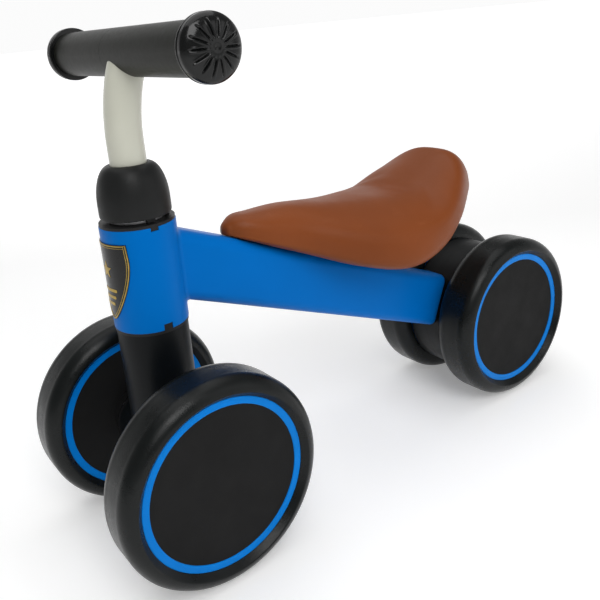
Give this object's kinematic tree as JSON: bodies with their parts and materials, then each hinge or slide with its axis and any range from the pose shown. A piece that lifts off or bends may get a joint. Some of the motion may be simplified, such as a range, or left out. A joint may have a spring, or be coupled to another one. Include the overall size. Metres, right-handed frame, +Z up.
{
  "type": "balance bike",
  "caption": "Toddler balance bike with a sloping box-section frame, wide front and narrow rear solid wheels, a steered fork with a straight handlebar, and a moulded saddle.",
  "frame": {"origin": "on the ground, midway between the two axles and on the bike's middle plane", "axes": "+X forward along the bike, +Y to the rider's left along the axles, +Z up along the steering axis"},
  "size_m": [0.488, 0.2152, 0.3698],
  "materials": {
    "frame_paint": "gloss powder coat, blue",
    "black_paint": "satin powder coat, black",
    "post_paint": "gloss enamel, off-white",
    "steel": "zinc plated, satin",
    "bearing_steel": "ground and polished",
    "nylon": "moulded nylon, matt black",
    "tyre_foam": "closed-cell foam, moulded skin with a soft sheen",
    "rim_plastic": "moulded plastic, blue, semi-gloss",
    "disc_plastic": "moulded plastic, matt black",
    "drum_plastic": "moulded plastic, satin black",
    "bell_plastic": "moulded plastic, satin black",
    "cap_plastic": "moulded plastic, gloss black",
    "grip_rubber": "satin rubber, warm dark grey",
    "badge": "black enamel with a gold double border",
    "saddle_skin": "smooth synthetic leather, brown, low sheen",
    "board_plastic": "moulded plastic, matt black"
  },
  "bodies": {
    "frame": {"head_tube": "frame_paint", "main_tube": "frame_paint", "rear_bracket": "black_paint", "rear_axle_tube": "black_paint", "rear_bushes": "nylon", "rear_axle": "steel", "rear_axle_screws": "steel", "rear_cover_left": "drum_plastic", "rear_cover_right": "drum_plastic", "rear_cover_screws": "steel", "upper_bush": "nylon", "lower_bush": "nylon", "head_badge": "badge", "saddle_pad": "saddle_skin", "saddle_base": "board_plastic", "saddle_bracket": "black_paint", "saddle_screws": "steel"},
    "steering": {"fork_tube": "black_paint", "fork_crown": "black_paint", "steerer_tube": "steel", "front_crosstube": "black_paint", "front_end_caps": "nylon", "front_axle": "steel", "front_axle_screws": "steel", "steering_washer": "steel", "stop_ring": "nylon", "clamp_collar": "black_paint", "clamp_screw": "steel", "bell_cover": "bell_plastic", "handlebar_post": "post_paint", "handlebar_core": "post_paint", "grip_left": "grip_rubber", "grip_right": "grip_rubber", "end_cap_left": "cap_plastic", "end_cap_right": "cap_plastic"},
    "front_left_wheel": {"front_left_tyre": "tyre_foam", "front_left_rim": "rim_plastic", "front_left_outer_cover": "disc_plastic", "front_left_inner_cover": "disc_plastic", "front_left_cover_screws": "steel", "front_left_bearings": "bearing_steel"},
    "front_right_wheel": {"front_right_tyre": "tyre_foam", "front_right_rim": "rim_plastic", "front_right_outer_cover": "disc_plastic", "front_right_inner_cover": "disc_plastic", "front_right_cover_screws": "steel", "front_right_bearings": "bearing_steel"},
    "rear_left_wheel": {"rear_left_tyre": "tyre_foam", "rear_left_rim": "rim_plastic", "rear_left_outer_cover": "disc_plastic", "rear_left_inner_cover": "disc_plastic", "rear_left_cover_screws": "steel", "rear_left_bearings": "bearing_steel"},
    "rear_right_wheel": {"rear_right_tyre": "tyre_foam", "rear_right_rim": "rim_plastic", "rear_right_outer_cover": "disc_plastic", "rear_right_inner_cover": "disc_plastic", "rear_right_cover_screws": "steel", "rear_right_bearings": "bearing_steel"}
  },
  "joints": [
    {"name": "steering", "type": "hinge", "parent": "frame", "child": "steering", "pos_m": [0.169, 0, 0.2], "axis": [0, 0, 1], "range_deg": [-67.5, 67.5]},
    {"name": "front_left_spin", "type": "hinge", "parent": "steering", "child": "front_left_wheel", "pos_m": [0.169, 0.065, 0.075], "axis": [0, 1, 0], "continuous": true},
    {"name": "front_right_spin", "type": "hinge", "parent": "steering", "child": "front_right_wheel", "pos_m": [0.169, -0.065, 0.075], "axis": [0, 1, 0], "continuous": true},
    {"name": "rear_left_spin", "type": "hinge", "parent": "frame", "child": "rear_left_wheel", "pos_m": [-0.169, 0.0393, 0.075], "axis": [0, 1, 0], "continuous": true},
    {"name": "rear_right_spin", "type": "hinge", "parent": "frame", "child": "rear_right_wheel", "pos_m": [-0.169, -0.0393, 0.075], "axis": [0, 1, 0], "continuous": true}
  ]
}
